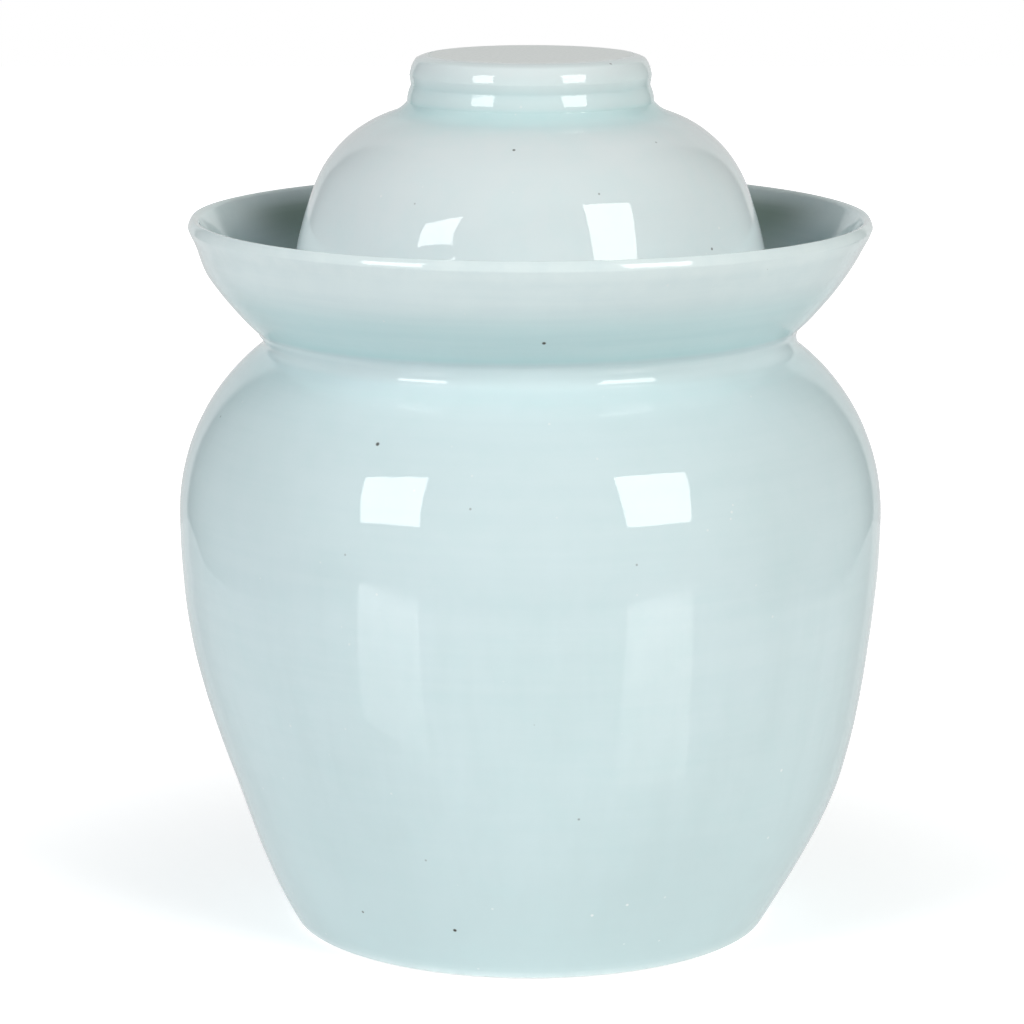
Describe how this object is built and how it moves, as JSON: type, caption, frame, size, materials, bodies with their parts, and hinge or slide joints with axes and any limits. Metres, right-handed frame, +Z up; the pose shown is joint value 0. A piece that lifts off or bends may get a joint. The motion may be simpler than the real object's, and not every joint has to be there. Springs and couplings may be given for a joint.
{
  "type": "water seal pickle jar",
  "caption": "Round-bellied glazed ceramic pickle jar with a flared water trough around its mouth, a disc inner lid and a bowl-shaped outer lid with a flat-topped grip ring.",
  "frame": {"origin": "centre of the foot, on the surface that the jar stands on", "axes": "+Z up along the axis that every piece is turned about; X and Y are free, because the jar is round"},
  "size_m": [0.2258, 0.2258, 0.28],
  "materials": {
    "jar_glaze": "pale blue-green gloss glaze",
    "bowl_lid_glaze": "pale blue-green gloss glaze",
    "inner_lid_glaze": "pale blue-green gloss glaze"
  },
  "bodies": {
    "jar": {"jar_body": "jar_glaze", "jar_neck": "jar_glaze", "jar_trough": "jar_glaze"},
    "bowl_lid": {"bowl_lid": "bowl_lid_glaze"},
    "inner_lid": {"inner_lid": "inner_lid_glaze"}
  },
  "joints": [
    {"name": "bowl_lid_lift", "type": "slide", "parent": "jar", "child": "bowl_lid", "axis": [0, 0, 1], "range_m": [0, 0.3]},
    {"name": "inner_lid_lift", "type": "slide", "parent": "jar", "child": "inner_lid", "axis": [0, 0, 1], "range_m": [0, 0.15]}
  ],
  "couplings": [
    {"joint": "inner_lid_lift", "follows": "bowl_lid_lift", "ratio": 0.5}
  ]
}
